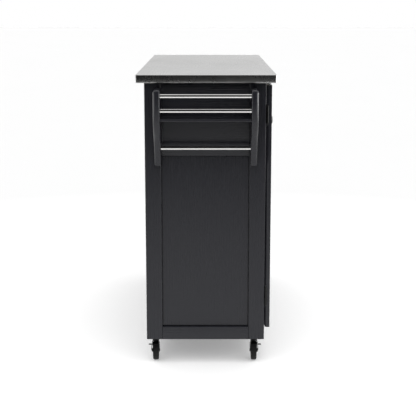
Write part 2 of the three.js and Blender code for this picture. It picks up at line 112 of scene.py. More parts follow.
def lathe(profile, steps, closed=False):
    """(radius, height) points turned about +Z. A radius of 0 is a pole."""
    corners, rows = [], []
    for radius, height in profile:
        if radius == 0:
            rows.append([len(corners)] * steps)
            corners.append((0, 0, height))
            continue
        rows.append(list(range(len(corners), len(corners) + steps)))
        corners += [(*around(radius, 2 * math.pi * k / steps), height) for k in range(steps)]
    faces = []
    for lower, upper in zip(rows, rows[1:] + (rows[:1] if closed else [])):
        for k in range(steps):
            m = (k + 1) % steps
            face = tuple(dict.fromkeys((lower[k], lower[m], upper[m], upper[k])))
            if len(face) > 2:
                faces.append(face)
    return corners, faces


def disc(radius, low, high, edge=0.4, steps=32):
    """A round bar along +Z with a small chamfer at both ends."""
    profile = [
        (0, low), (radius - edge, low), (radius, low + edge),
        (radius, high - edge), (radius - edge, high), (0, high),
    ]
    return lathe(profile, steps)


def arc(centre, radius, start, end, steps):
    """Points on an arc, between two angles in degrees."""
    angles = [math.radians(start + (end - start) * k / steps) for k in range(steps + 1)]
    return [(centre[0] + radius * math.cos(a), centre[1] + radius * math.sin(a)) for a in angles]


def rounded(lo, hi, radii, steps=4):
    """A rectangle with its own radius at each corner, in the order --, +-, ++, -+."""
    (x0, y0), (x1, y1) = lo, hi
    places = [(x0, y0, 1, 1, 180), (x1, y0, -1, 1, 270), (x1, y1, -1, -1, 0), (x0, y1, 1, -1, 90)]
    points = []
    for (x, y, inx, iny, start), radius in zip(places, radii):
        if radius == 0:
            points.append((x, y))
        else:
            centre = (x + inx * radius, y + iny * radius)
            points += arc(centre, radius, start, start + 90, steps)
    return points


def quadratic(start, control, end, steps):
    """Points on a curve after its start, pulled towards the control point."""
    points = []
    for k in range(1, steps + 1):
        t = k / steps
        weights = ((1 - t) ** 2, 2 * t * (1 - t), t**2)
        points.append(tuple(sum(w * p[i] for w, p in zip(weights, (start, control, end))) for i in (0, 1)))
    return points


def moved(shell, matrix):
    corners, faces = shell
    return [tuple(matrix @ Vector(c)) for c in corners], faces


def merged(shells):
    corners, faces = [], []
    for some_corners, some_faces in shells:
        start = len(corners)
        corners += some_corners
        faces += [tuple(start + i for i in face) for face in some_faces]
    return corners, faces


def pointing(origin, direction):
    """A matrix that stands a shell made about +Z at the origin, with +Z along the direction."""
    turn = Vector(direction).to_track_quat("Z", "Y").to_matrix().to_4x4()
    return Matrix.Translation(Vector(origin)) @ turn


def mesh_of(name, shell):
    mesh = bpy.data.meshes.new(name)
    mesh.from_pydata(shell[0], [], shell[1])
    work = bmesh.new()
    work.from_mesh(mesh)
    bmesh.ops.recalc_face_normals(work, faces=work.faces)
    for face in work.faces:
        face.smooth = True
    work.to_mesh(mesh)
    work.free()
    return mesh


def combined(shell, tools, operation):
    """The shell cut by, joined with or kept inside the tools."""
    made = []
    for i, each in enumerate([shell, *tools]):
        helper = bpy.data.objects.new(f"helper_{i}", mesh_of(f"helper_{i}", each))
        SCENE.collection.objects.link(helper)
        made.append(helper)
    for helper in made[1:]:
        step = made[0].modifiers.new("step", "BOOLEAN")
        step.operation = operation
        step.solver = "EXACT"
        step.object = helper
    depsgraph = bpy.context.evaluated_depsgraph_get()
    result = bpy.data.meshes.new_from_object(made[0].evaluated_get(depsgraph))
    shell = [tuple(v.co) for v in result.vertices], [tuple(p.vertices) for p in result.polygons]
    for helper in made:
        mesh = helper.data
        bpy.data.objects.remove(helper)
        bpy.data.meshes.remove(mesh)
    bpy.data.meshes.remove(result)
    return shell


# ---------------- pieces

EDGE_ANGLE = 30
EDGE_SEGMENTS = 2
WELD_DISTANCE = 0.01 * MM
FLAT_ANGLE = 1


def soften(obj, width):
    bevel = obj.modifiers.new("soft_edges", "BEVEL")
    bevel.width = width
    bevel.segments = EDGE_SEGMENTS
    bevel.limit_method = "ANGLE"
    bevel.angle_limit = math.radians(EDGE_ANGLE)
    bevel.harden_normals = True
    bevel.use_clamp_overlap = True
    bevel.miter_outer = "MITER_SHARP"


def piece(name, body, finish, shells, bevel=0, sharp=40, replaces=()):
    """One visible part. Its edges are softened by bevel, or shaded sharp from an angle in degrees."""
    slot, material = finish
    mesh = mesh_of(name, merged(shells))
    mesh.materials.append(material)
    obj = bpy.data.objects.new(name, mesh)
    SCENE.collection.objects.link(obj)
    if bevel:
        soften(obj, bevel)
    else:
        mesh.set_sharp_from_angle(angle=math.radians(sharp))
    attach(obj, body)
    if replaces:
        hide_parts(*replaces)


def dress(node, finish, bevel):
    """A CAD node that is shown as it is, with its edges softened."""
    _, material = finish
    obj = frame["nodes"][node]
    obj.data.materials.clear()
    obj.data.materials.append(material)
    weld = obj.modifiers.new("weld", "WELD")
    weld.merge_threshold = WELD_DISTANCE
    flat = obj.modifiers.new("flat_faces", "DECIMATE")
    flat.decimate_type = "DISSOLVE"
    flat.angle_limit = math.radians(FLAT_ANGLE)
    soften(obj, bevel)


# ---------------- material graphs

NOISE_RANGE = (0.3, 0.7)
# Edge mask for rubbed wear and a painted sheen on the arrises: its bend and its noise scale.
EDGE_WEAR_SHEEN_BEND = (0.97, 0.8)
EDGE_WEAR_SHEEN_NOISE = 160


class Graph:
    """A material or world of nodes, with short names for the nodes that are used over and over."""

    def __init__(self, name, kind="materials"):
        self.owner = getattr(bpy.data, kind).new(name)
        self.owner.use_nodes = True
        self.tree = self.owner.node_tree
        self.shader = self.tree.nodes.get("Principled BSDF")

    def node(self, kind, inputs, **settings):
        made = self.tree.nodes.new(kind)
        for key, value in settings.items():
            setattr(made, key, value)
        for key, value in inputs.items():
            self.feed(made.inputs[key], value)
        return made

    def feed(self, socket, value):
        if isinstance(value, bpy.types.NodeSocket):
            self.tree.links.new(value, socket)
        else:
            socket.default_value = value

    def shaded(self, **values):
        """The material, with these inputs on its shader."""
        for key, value in values.items():
            self.feed(self.shader.inputs[key.replace("_", " ")], value)
        return self.owner

    def coords(self, scale):
        place = self.node("ShaderNodeTexCoord", {}).outputs["Object"]
        return self.node("ShaderNodeMapping", {"Vector": place, "Scale": scale}).outputs[0]

    def noise(self, scale, detail=3, roughness=0.55, distortion=0):
        """Noise of one scale, or of its own scale along each axis."""
        scale = scale if isinstance(scale, tuple) else (scale,) * 3
        inputs = {"Vector": self.coords(scale), "Scale": 1.0, "Detail": detail}
        inputs |= {"Roughness": roughness, "Distortion": distortion}
        return self.node("ShaderNodeTexNoise", inputs).outputs[0]

    def remap(self, value, from_low, from_high, to_low, to_high, **settings):
        inputs = {"Value": value, "From Min": from_low, "From Max": from_high}
        inputs |= {"To Min": to_low, "To Max": to_high}
        return self.node("ShaderNodeMapRange", inputs, **settings).outputs[0]

    def vary(self, noise, low, high):
        """A number that follows a noise, from low to high over most of the noise's range."""
        return self.remap(noise, *NOISE_RANGE, low, high)

    def blend(self, factor, first, second):
        made = self.node("ShaderNodeMix", {0: factor}, data_type="RGBA")
        for index, colour in ((6, first), (7, second)):
            is_socket = isinstance(colour, bpy.types.NodeSocket)
            self.feed(made.inputs[index], colour if is_socket else (*colour, 1))
        return made.outputs[2]

    def mixed(self, factor, first, second):
        """One number or the other, by the factor."""
        return self.node("ShaderNodeMix", {0: factor, 2: first, 3: second}, data_type="FLOAT").outputs[0]

    def math(self, operation, first, second=0.0):
        return self.node("ShaderNodeMath", {0: first, 1: second}, operation=operation).outputs[0]

    def bump(self, height, distance, strength, below=None):
        inputs = {"Height": height, "Distance": distance, "Strength": strength}
        if below is not None:
            inputs["Normal"] = below
        return self.node("ShaderNodeBump", inputs).outputs[0]

    def worn_and_sheen_edges(self, radius, low, high):
        """1 at the edges of the shape and 0 on its flats, broken up by fine noise: the mask for rubbed wear
        and a painted edge sheen.
        """
        soft = self.node("ShaderNodeBevel", {"Radius": radius}, samples=4).outputs[0]
        true = self.node("ShaderNodeNewGeometry", {}).outputs["Normal"]
        turned = self.node("ShaderNodeVectorMath", {0: soft, 1: true}, operation="DOT_PRODUCT")
        edge = self.remap(turned.outputs["Value"], *EDGE_WEAR_SHEEN_BEND, 0, 1)
        return self.math("MULTIPLY", edge, self.remap(self.noise(EDGE_WEAR_SHEEN_NOISE, 4), low, high, 0, 1))


def stretched(axis, along, across):
    """A noise scale that draws the pattern out along one axis."""
    scale = [across] * 3
    scale["XYZ".index(axis)] = along
    return tuple(scale)


def paint(grain):
    """Satin black paint over wood: the grain shows faintly through it, and the arrises are lighter, partly
    rubbed wear and partly a painted sheen.
    """
    g = Graph(f"black_paint_grain_{grain.lower()}")
    pores = g.noise(stretched(grain, 7, 420), 3, 0.55)
    figure = g.noise(stretched(grain, 3, 45), 2, 0.5, 0.6)
    peel = g.noise(900, 2)
    cloud = g.noise(5, 3)
    colour = g.blend(cloud, (0.0128, 0.0131, 0.0170), (0.0152, 0.0156, 0.0200))
    wear_and_sheen = g.worn_and_sheen_edges(1.6 * MM, 0.5, 0.72)
    sheen = g.vary(cloud, 0.25, 0.31)
    low = g.bump(figure, 0.10 * MM, 0.16)
    fine = g.bump(pores, 0.07 * MM, 0.15, low)
    return g.shaded(
        # Base colour lightened at the arrises: rubbed wear and a painted edge sheen.
        Base_Color=g.blend(g.math("MULTIPLY", wear_and_sheen, 0.5), colour, (0.05, 0.05, 0.052)),
        Roughness=g.math("ADD", sheen, g.vary(pores, -0.02, 0.03)),
        IOR=1.42,
        Normal=g.bump(peel, 0.03 * MM, 0.25, fine),
    )


def brushed_steel():
    """Stainless sheet, brushed along X and down over its ends, with faint cloudiness and wiped patches."""
    g = Graph("brushed_steel")
    normal = g.node("ShaderNodeNewGeometry", {}).outputs["Normal"]
    sideways = g.math("ABSOLUTE", g.node("ShaderNodeSeparateXYZ", {0: normal}).outputs[0])
    at_end = g.remap(sideways, 0.55, 0.85, 0, 1)
    end_strokes = g.remap(g.noise((1500, 1500, 5), 3, 0.5), 0, 1, 0.44, 0.56)
    end_bands = g.remap(g.noise((130, 130, 2), 3, 0.5), 0, 1, 0.44, 0.56)
    strokes = g.mixed(at_end, g.noise((3, 2200, 2200), 2, 0.5), end_strokes)
    bands = g.mixed(at_end, g.noise((1.5, 420, 420), 2, 0.5), end_bands)
    smear = g.noise((7, 11, 7), 4, 0.6, 0.8)
    tone = g.blend(g.vary(bands, 0, 1), (0.412, 0.411, 0.407), (0.424, 0.423, 0.419))
    sheen = g.vary(strokes, 0.24, 0.30)
    return g.shaded(
        Base_Color=g.blend(g.remap(smear, 0.35, 0.75, 0, 0.3), tone, (0.395, 0.395, 0.392)),
        Metallic=1.0,
        Roughness=g.math("ADD", sheen, g.vary(smear, -0.02, 0.04)),
        Anisotropic=0.35,
        Normal=g.bump(strokes, 0.010 * MM, 0.10, g.bump(bands, 0.006 * MM, 0.04)),
    )


def polished_steel():
    """Bright bar with fine lines drawn out along it, and a little haze."""
    g = Graph("polished_steel")
    lines = g.noise((2600, 30, 2600), 3, 0.6)
    haze = g.noise(25, 3)
    return g.shaded(
        Base_Color=g.blend(haze, (0.70, 0.695, 0.685), (0.75, 0.745, 0.735)),
        Metallic=1.0,
        Roughness=g.math("ADD", g.vary(haze, 0.03, 0.05), g.vary(lines, 0, 0.02)),
        Normal=g.bump(lines, 0.01 * MM, 0.2),
    )


def zinc():
    """Bright zinc plate on pressed steel, slightly blue and yellow in patches, with small scratches."""
    g = Graph("zinc_plate")
    spangle = g.noise(320, 4)
    tint = g.noise(70, 2)
    scratch = g.noise((150, 2400, 900), 3, 0.7)
    tone = g.blend(tint, (0.47, 0.48, 0.50), (0.56, 0.55, 0.50))
    wear_and_sheen = g.worn_and_sheen_edges(0.6 * MM, 0.4, 0.65)
    sheen = g.vary(spangle, 0.2, 0.34)
    return g.shaded(
        # Base colour lightened at the edges: rubbed wear and a painted edge sheen.
        Base_Color=g.blend(g.math("MULTIPLY", wear_and_sheen, 0.6), tone, (0.72, 0.72, 0.71)),
        Metallic=1.0,
        Roughness=g.math("ADD", sheen, g.remap(scratch, 0.55, 0.8, 0, 0.15)),
        Normal=g.bump(scratch, 0.02 * MM, 0.3, g.bump(spangle, 0.03 * MM, 0.25)),
    )


def coated_metal(name, shade, roughness, gloss=0.5, coat=0.25):
    """Black lacquer or powder coat on metal, with a fine orange peel, and edges lightened for rubbed wear
    and a painted sheen.
    """
    g = Graph(name)
    peel = g.noise(1500, 3)
    cloud = g.noise(90, 3)
    colour = g.blend(cloud, (shade,) * 3, (shade * 1.4,) * 3)
    wear_and_sheen = g.worn_and_sheen_edges(0.5 * MM, 0.45, 0.7)
    return g.shaded(
        # Base colour lightened at the edges: rubbed wear and a painted edge sheen.
        Base_Color=g.blend(g.math("MULTIPLY", wear_and_sheen, 0.55), colour, (0.13, 0.125, 0.12)),
        Roughness=g.vary(cloud, roughness - 0.04, roughness + 0.06),
        Specular_IOR_Level=gloss,
        Coat_Weight=coat,
        Coat_Roughness=0.2,
        Normal=g.bump(peel, 0.04 * MM, 0.35),
    )


def rubber():
    """Black rubber, gritty all over and dusty in patches."""
    g = Graph("black_rubber")
    grit = g.noise(2200, 4, 0.7)
    dust = g.noise(140, 4)
    return g.shaded(
        Base_Color=g.blend(g.remap(dust, 0.45, 0.75, 0, 1), (0.004, 0.004, 0.004), (0.010, 0.0095, 0.009)),
        Roughness=g.vary(dust, 0.5, 0.66),
        Specular_IOR_Level=0.25,
        Normal=g.bump(grit, 0.05 * MM, 0.4),
    )


def moulded_plastic():
    """Black nylon with a spark-eroded texture and faint flow marks."""
    g = Graph("moulded_plastic")
    texture = g.noise(1800, 2)
    flow = g.noise((60, 60, 20), 3, 0.5, 1.0)
    return g.shaded(
        Base_Color=g.blend(flow, (0.008, 0.008, 0.009), (0.013, 0.013, 0.014)),
        Roughness=g.vary(flow, 0.36, 0.46),
        Specular_IOR_Level=0.35,
        Normal=g.bump(texture, 0.03 * MM, 0.4),
    )


def wood(grain, seed):
    """Pale rubberwood under clear lacquer: long bands, short pores and darker vessel lines."""
    g = Graph(f"rubberwood_grain_{grain.lower()}_{seed}")
    bands = g.noise(stretched(grain, 1.6 + 0.3 * seed, 38), 4, 0.55, 0.9)
    fibre = g.noise(stretched(grain, 14, 700), 4, 0.65)
    pores = g.noise(stretched(grain, 45, 1100), 2, 0.5)
    tone = g.blend(g.remap(bands, 0.3, 0.72, 0, 1), (0.66, 0.47, 0.28), (0.50, 0.33, 0.18))
    fine = g.blend(g.remap(fibre, 0.35, 0.7, 0, 0.45), tone, (0.42, 0.27, 0.14))
    dark = g.remap(pores, 0.62, 0.74, 0, 0.7)
    return g.shaded(
        Base_Color=g.blend(dark, fine, (0.25, 0.15, 0.07)),
        Roughness=g.vary(fibre, 0.36, 0.5),
        Normal=g.bump(fibre, 0.06 * MM, 0.35, g.bump(dark, -0.08 * MM, 0.4)),
    )


def particle_board():
    """Raw board of pressed flakes, with finer dust between them."""
    g = Graph("particle_board")
    place = g.coords((260, 260, 420))
    flakes = g.node("ShaderNodeTexVoronoi", {"Vector": place, "Scale": 1.0})
    fine = g.noise(900, 3)
    grey = g.node("ShaderNodeRGBToBW", {0: flakes.outputs["Color"]}).outputs[0]
    tone = g.blend(grey, (0.30, 0.20, 0.11), (0.58, 0.43, 0.26))
    return g.shaded(
        Base_Color=g.blend(g.remap(fine, 0.4, 0.7, 0, 0.4), tone, (0.22, 0.14, 0.08)),
        Roughness=0.82,
        Normal=g.bump(grey, 0.15 * MM, 0.5),
    )


# A finish is a material slot of the part and a material.
paint_x, paint_y, paint_z = [("black_paint", paint(grain)) for grain in "XYZ"]
wood_x, wood_y, plywood = [("drawer_wood", wood(*kind)) for kind in (("X", 0), ("Y", 1), ("X", 2))]
sheet_steel = ("steel_sheet", brushed_steel())
rod_steel = ("steel_rod", polished_steel())
zinc_plate = ("zinc_steel", zinc())
knob_black = ("black_metal", coated_metal("knob_lacquer", 0.010, 0.30))
hinge_black = ("hinge_metal", coated_metal("hinge_coating", 0.003, 0.42, 0.3, 0))
caster_black = ("black_metal", coated_metal("caster_coating", 0.004, 0.45, 0.3, 0))
tyre_rubber = ("wheel_rubber", rubber())
hub_plastic = ("wheel_rubber", moulded_plastic())
chipboard = ("board_core", particle_board())

# ---------------- worktop

SHEET = 1 * MM
FOLD_RADIUS = 1.7 * MM
CORNER_RADIUS = 5 * MM
FOLD_UNDER = 22 * MM
CORE_ARRIS = 0.4 * MM
LEAST_CORNER = 0.4 * MM


def ring_shell(lo, hi, outer, inner):
    """Closed skin of a slab. outer and inner are (inset, height) lists, which end on the top."""
    corners, faces = [], []
    for inset, height in [*outer, *reversed(inner)]:
        radius = max(CORNER_RADIUS - inset, LEAST_CORNER)
        points = rounded((lo.x + inset, lo.y + inset), (hi.x - inset, hi.y - inset), (radius,) * 4, 6)
        corners += [(x, y, height) for x, y in points]
    n = len(points)
    for start in range(0, len(corners), n):
        after = (start + n) % len(corners)
        if start == (len(outer) - 1) * n:
            faces += [tuple(range(start, start + n)), tuple(range(after, after + n))]
        else:
            faces += band(start, after, n)
    return corners, faces


def quarter_turns(steps):
    return [math.pi / 2 * k / steps for k in range(1, steps + 1)]


def make_worktop():
    """The folded sheet round the worktop's edge and a little way under it, and the board inside."""
    lo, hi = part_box("worktop_skin")
    r = FOLD_RADIUS
    outer = [(FOLD_UNDER, lo.z), (r, lo.z)]
    outer += [(r - r * math.sin(t), lo.z + r - r * math.cos(t)) for t in quarter_turns(5)]
    outer += [(r - r * math.cos(t), hi.z - r + r * math.sin(t)) for t in quarter_turns(5)]
    outer.append((FOLD_UNDER, hi.z))
    inner = [
        (FOLD_UNDER, lo.z + SHEET), (r, lo.z + SHEET), (SHEET, lo.z + r),
        (SHEET, hi.z - r), (r, hi.z - SHEET), (FOLD_UNDER, hi.z - SHEET),
    ]
    skin = ring_shell(lo, hi, outer, inner)
    node = "worktop_skin"
    piece("worktop_sheet", "cabinet", sheet_steel, [skin], sharp=32, replaces=[node])
    dress("worktop_core", chipboard, CORE_ARRIS)


make_worktop()

# ---------------- case ends

ARRIS = 2.8 * MM
RAIL_ARRIS = 1.6 * MM
JOINT_ARRIS = 0.5 * MM
SHADOW_GAP = 2 * MM
GAP_DEPTH = 3.2 * MM
OVERLAP = 0.5 * MM


def make_end_panel(prefix, outward, opening):
    """A flat board whose field stops just short of the frame, so that a dark line runs round it."""
    node = f"{prefix}_panel"
    lo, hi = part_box(node)
    z0, z1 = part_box(f"{prefix}_bottom_rail")[1].z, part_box(f"{prefix}_top_rail")[0].z
    gap = SHADOW_GAP
    back_x, face_x = (hi.x, lo.x) if outward < 0 else (lo.x, hi.x)
    step_x = face_x - outward * GAP_DEPTH
    board_x = sorted((back_x, step_x))
    field_x = sorted((face_x, step_x - outward * OVERLAP))
    board = box((board_x[0], lo.y, lo.z), (board_x[1], hi.y, hi.z))
    field = box((field_x[0], opening[0] + gap, z0 + gap), (field_x[1], opening[1] - gap, z1 - gap))
    shell = combined(board, [field], "UNION")
    piece(f"{node}_board", "cabinet", paint_z, [shell], JOINT_ARRIS, replaces=[node])


def make_end(prefix, outward):
    """The end's outer face is towards -X when outward is -1."""
    front_lo, front_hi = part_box(f"{prefix}_front_stile")
    back_lo, back_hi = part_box(f"{prefix}_back_stile")
    for row, lo, hi in (("front", front_lo, front_hi), ("back", back_lo, back_hi)):
        outer_x = lo.x if outward < 0 else hi.x
        radii = [ARRIS if x == outer_x else 0 for x in (lo.x, hi.x, hi.x, lo.x)]
        outline = rounded((lo.x, lo.y), (hi.x, hi.y), radii)
        name = f"{prefix}_{row}_stile"
        shell = prism(outline, "Z", lo.z, hi.z)
        piece(f"{name}_board", "cabinet", paint_z, [shell], JOINT_ARRIS, replaces=[name])
    for level in ("top", "bottom"):
        name = f"{prefix}_{level}_rail"
        lo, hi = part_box(name)
        if outward < 0:
            radii = (RAIL_ARRIS, 0, 0, 0) if level == "top" else (0, 0, 0, JOINT_ARRIS * 2)
        else:
            radii = (0, RAIL_ARRIS, 0, 0) if level == "top" else (0, 0, JOINT_ARRIS * 2, 0)
        outline = rounded((front_lo.x, lo.z), (front_hi.x, hi.z), radii)
        shell = prism(outline, "Y", front_hi.y, back_lo.y)
        piece(f"{name}_board", "cabinet", paint_y, [shell], JOINT_ARRIS, replaces=[name])
    make_end_panel(prefix, outward, (front_hi.y, back_lo.y))


make_end("left_end", -1)
make_end("right_end", 1)

# ---------------- framed boards

FRAME_ARRIS = 1.1 * MM
FIELD_ARRIS = 0.3 * MM
TONGUE = 6 * MM


def framed(name, body, node, border, columns, front_sign, field_in, field_back, carved=()):
    """A frame with flat fields between its members, in place of a routed board that faces Y.

    The fields lie field_in behind the face that front_sign points out of, and field_back off the other.
    """
    lo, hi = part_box(node)
    members, rails = [], []
    gap = (hi.x - lo.x - border * (columns + 1)) / columns
    for i in range(columns + 1):
        x = lo.x + i * (border + gap)
        end = i in (0, columns)
        z0 = lo.z if end else lo.z + border
        z1 = hi.z if end else hi.z - border
        upright = box((x, lo.y, z0), (x + border, hi.y, z1))
        members.append(combined(upright, carved, "DIFFERENCE") if carved and end else upright)
    for z in (lo.z, hi.z - border):
        rails.append(box((lo.x + border, lo.y, z), (hi.x - border, hi.y, z + border)))
    fields = []
    y0 = lo.y + field_in if front_sign < 0 else lo.y + field_back
    y1 = hi.y - field_back if front_sign < 0 else hi.y - field_in
    z0, z1 = lo.z + border - TONGUE, hi.z - border + TONGUE
    for i in range(columns):
        x = lo.x + border + i * (border + gap)
        fields.append(box((x - TONGUE, y0, z0), (x + gap + TONGUE, y1, z1)))
    wide = hi.x - lo.x > hi.z - lo.z and columns == 1
    piece(f"{name}_stiles", body, paint_z, members, FRAME_ARRIS, replaces=[node])
    piece(f"{name}_rails", body, paint_x, rails, FRAME_ARRIS)
    piece(f"{name}_fields", body, paint_x if wide else paint_z, fields, FIELD_ARRIS)


LEAF_SLACK = 0.6 * MM
LEAF_DEPTH = 1.8 * MM
KNUCKLE_REACH = 4 * MM


def hinge_room(side):
    """The notches that the hinges of a door need, as shells."""
    tools = []
    slack, reach = LEAF_SLACK, KNUCKLE_REACH
    axis = joint_at[f"{side}_door_hinge"]
    door_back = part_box(f"{side}_door")[1].y
    back, leaf_front = door_back + MM, door_back - LEAF_DEPTH
    for level in ("upper", "lower"):
        lo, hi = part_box(f"{side}_{level}_hinge_door_leaf")
        z0, z1 = lo.z - slack, hi.z + slack
        tools.append(box((lo.x - slack, leaf_front, z0), (hi.x + slack, back, z1)))
        tools.append(box((axis.x - reach, axis.y - reach, z0), (axis.x + reach, back, z1)))
    return tools


RELIEF_WIDTH = 4.5 * MM
RELIEF_DEPTH = 6 * MM
RELIEF_STOP = 8 * MM


def hinge_edge_relief(side):
    """Chamfers along a door's back arris, for room to swing, which stop short of its hinges."""
    sign = SIDE_SIGN[side]
    lo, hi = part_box(f"{side}_door")
    lower, upper = [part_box(f"{side}_{level}_hinge_door_leaf") for level in ("lower", "upper")]
    outer = (lo.x if sign < 0 else hi.x) + sign * MM
    slope = RELIEF_WIDTH / RELIEF_DEPTH
    outline = [
        (outer, hi.y - RELIEF_DEPTH - MM / slope),
        (outer, hi.y + MM),
        (outer - sign * (RELIEF_WIDTH + MM + slope * MM), hi.y + MM),
    ]
    if sign < 0:
        outline.reverse()
    spans = (
        (lo.z - MM, lower[0].z - RELIEF_STOP),
        (lower[1].z + RELIEF_STOP, upper[0].z - RELIEF_STOP),
        (upper[1].z + RELIEF_STOP, hi.z + MM),
    )
    return [prism(outline, "Z", *span) for span in spans]


BACK_BORDER = 60 * MM
DOOR_BORDER = 55 * MM
DRAWER_BORDER = 38 * MM
FIELD_SET_BACK = 4 * MM

framed("back", "cabinet", "back_panel", BACK_BORDER, 3, 1, 5 * MM, 4 * MM)
for side in SIDE_SIGN:
    door = f"{side}_door"
    carved = hinge_room(side) + hinge_edge_relief(side)
    framed(door, door, door, DOOR_BORDER, 1, -1, FIELD_SET_BACK, 3 * MM, carved)
for number in range(1, 5):
    front = f"drawer_{number}_front"
    framed(front, f"drawer_{number}", front, DRAWER_BORDER, 1, -1, FIELD_SET_BACK, 0)

# ---------------- screws


def screw_head(radius, height):
    """A domed head about +Z with a cross-shaped recess."""
    steps = 24
    arm, half = 0.62 * radius, 0.16 * radius
    cross = [
        (arm, -half), (arm, half), (half, half), (half, arm), (-half, arm), (-half, half),
        (-arm, half), (-arm, -half), (-half, -half), (-half, -arm), (half, -arm), (half, -half),
    ]
    rings = [(radius, 0), (radius, 0.3 * height), (0.88 * radius, 0.75 * height), (0.7 * radius, height)]
    corners, faces = [], []
    for r, z in rings:
        corners += [(*around(r, 2 * math.pi * (k - 1.5) / steps), z) for k in range(steps)]
    for level in range(len(rings) - 1):
        faces += band(level * steps, (level + 1) * steps, steps)
    rim = (len(rings) - 1) * steps
    top = len(corners)
    corners += [(x, y, height) for x, y in cross]
    floor = len(corners)
    corners += [(0.8 * x, 0.8 * y, 0.25 * height) for x, y in cross]
    n = len(cross)
    for i in range(n):
        j = (i + 1) % n
        a, b, c = rim + 2 * i, rim + (2 * i + 1) % steps, rim + (2 * i + 2) % steps
        faces += [(a, b, top + i), (b, c, top + j, top + i)]
        faces.append((top + i, top + j, floor + j, floor + i))
    faces.append(tuple(floor + i for i in range(n)))
    faces.append(tuple(range(steps)))
    return corners, faces


def screws(name, body, finish, places, direction, radius, height):
    heads = [moved(screw_head(radius, height), pointing(place, direction)) for place in places]
    piece(name, body, finish, heads, sharp=45)


# ---------------- knobs

KNOB_PROFILE = [
    (0, 0), (7.6, 0), (8.3, 0.4), (8.5, 1.0), (8.2, 1.9), (7.0, 3.0), (6.0, 4.3), (5.6, 6.0), (5.6, 8.0),
    (6.2, 10.0), (8.0, 11.6), (11.0, 12.8), (13.6, 13.7), (14.7, 14.8), (15.0, 16.2), (14.6, 17.7),
    (13.2, 19.2), (10.4, 20.6), (6.6, 21.6), (3.0, 21.93), (0, 22),
]


def make_knob(node, body, door_back):
    """A turned knob, with the head of its screw on the back of a door. A drawer's box has that screw."""
    lo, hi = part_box(node)
    centre = ((lo.x + hi.x) / 2, hi.y, (lo.z + hi.z) / 2)
    profile = [(r * MM, z * MM) for r, z in KNOB_PROFILE]
    turned = moved(lathe(profile, 64), pointing(centre, (0, -1, 0)))
    piece(f"{node}_turned", body, knob_black, [turned], sharp=60, replaces=[node])
    if door_back is not None:
        place = [(centre[0], door_back, centre[2])]
        screws(f"{node}_screw", body, zinc_plate, place, (0, 1, 0), 4.2 * MM, 1.6 * MM)


for side in SIDE_SIGN:
    make_knob(f"{side}_door_knob", f"{side}_door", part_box(f"{side}_door")[1].y)
for number in range(1, 5):
    make_knob(f"drawer_{number}_knob", f"drawer_{number}", None)

# ---------------- hinges

LEAF_THICKNESS = 1.2 * MM
LEAF_WIDTH = 24 * MM
LEAF_CORNER = 3.5 * MM
KNUCKLE_RADIUS = 3.2 * MM
KNUCKLE_CLEAR = 3.8 * MM
CASE_KNUCKLE = 9.5 * MM
DOOR_KNUCKLE = 9.2 * MM
HINGE_SCREWS = [(18.5, -17), (14, 0), (18.5, 17)]
PIN_TIP = [(0, 0), (2.4, 0), (2.7, 0.5), (2.1, 1.3), (2.6, 2.3), (2.3, 3.4), (1.3, 4.2), (0, 4.5)]


def make_hinge(side, level):
    """Two leaves with rounded corners, countersunk screws, three knuckles and a pin with round tips."""
    sign = SIDE_SIGN[side]
    axis = joint_at[f"{side}_door_hinge"]
    for kind, body in (("case", "cabinet"), ("door", f"{side}_door")):
        node = f"{side}_{level}_hinge_{kind}_leaf"
        lo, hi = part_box(node)
        middle = (lo.z + hi.z) / 2
        y1 = hi.y
        y0 = y1 - LEAF_THICKNESS
        free = axis.x - sign * LEAF_WIDTH
        near = axis.x - sign * KNUCKLE_CLEAR
        x0, x1 = min(free, near), max(free, near)
        radii = [LEAF_CORNER * share for share in ((0, 1, 1, 0) if sign < 0 else (1, 0, 0, 1))]
        plate = prism(rounded((x0, lo.z), (x1, hi.z), radii), "Y", y0, y1)
        if kind == "case":
            spans = [(lo.z, middle - CASE_KNUCKLE), (middle + CASE_KNUCKLE, hi.z)]
        else:
            spans = [(middle - DOOR_KNUCKLE, middle + DOOR_KNUCKLE)]
        shells = [plate]
        for low, high in spans:
            tube = disc(KNUCKLE_RADIUS, low, high, 0.35 * MM, 28)
            tube = moved(tube, Matrix.Translation((axis.x, axis.y, 0)))
            wing = box((min(near, axis.x), y0, low), (max(near, axis.x), y1, high))
            shells += [tube, wing]
        if kind == "case":
            for z, way in ((lo.z, -1), (hi.z, 1)):
                turned = lathe([(r * MM, h * MM) for r, h in PIN_TIP], 24)
                shells.append(moved(turned, pointing((axis.x, axis.y, z), (0, 0, way))))
        piece(f"{node}_steel", body, hinge_black, shells, 0.22 * MM, replaces=[node])
        facing = -1 if kind == "case" else 1
        y = y0 if kind == "case" else y1
        places = [(axis.x - sign * away * MM, y, middle + up * MM) for away, up in HINGE_SCREWS]
        screws(f"{node}_screws", body, hinge_black, places, (0, facing, 0), 3.1 * MM, 0.16 * MM)


for side in SIDE_SIGN:
    for level in ("upper", "lower"):
        make_hinge(side, level)

# ---------------- end rack

ARM_ROUND = 8.5 * MM
INNER_ROUND = 5.2 * MM
ARM_CORNER = 10 * MM
ARM_STRAIGHT = 88 * MM
HOLE_RADIUS = 6.6 * MM
HOLE_DEPTH = 8 * MM
RODS = ("rack_rod_upper", "rack_rod_lower", "towel_rod")


def rod_middle(rod):
    return sum(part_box(rod), Vector()) / 2


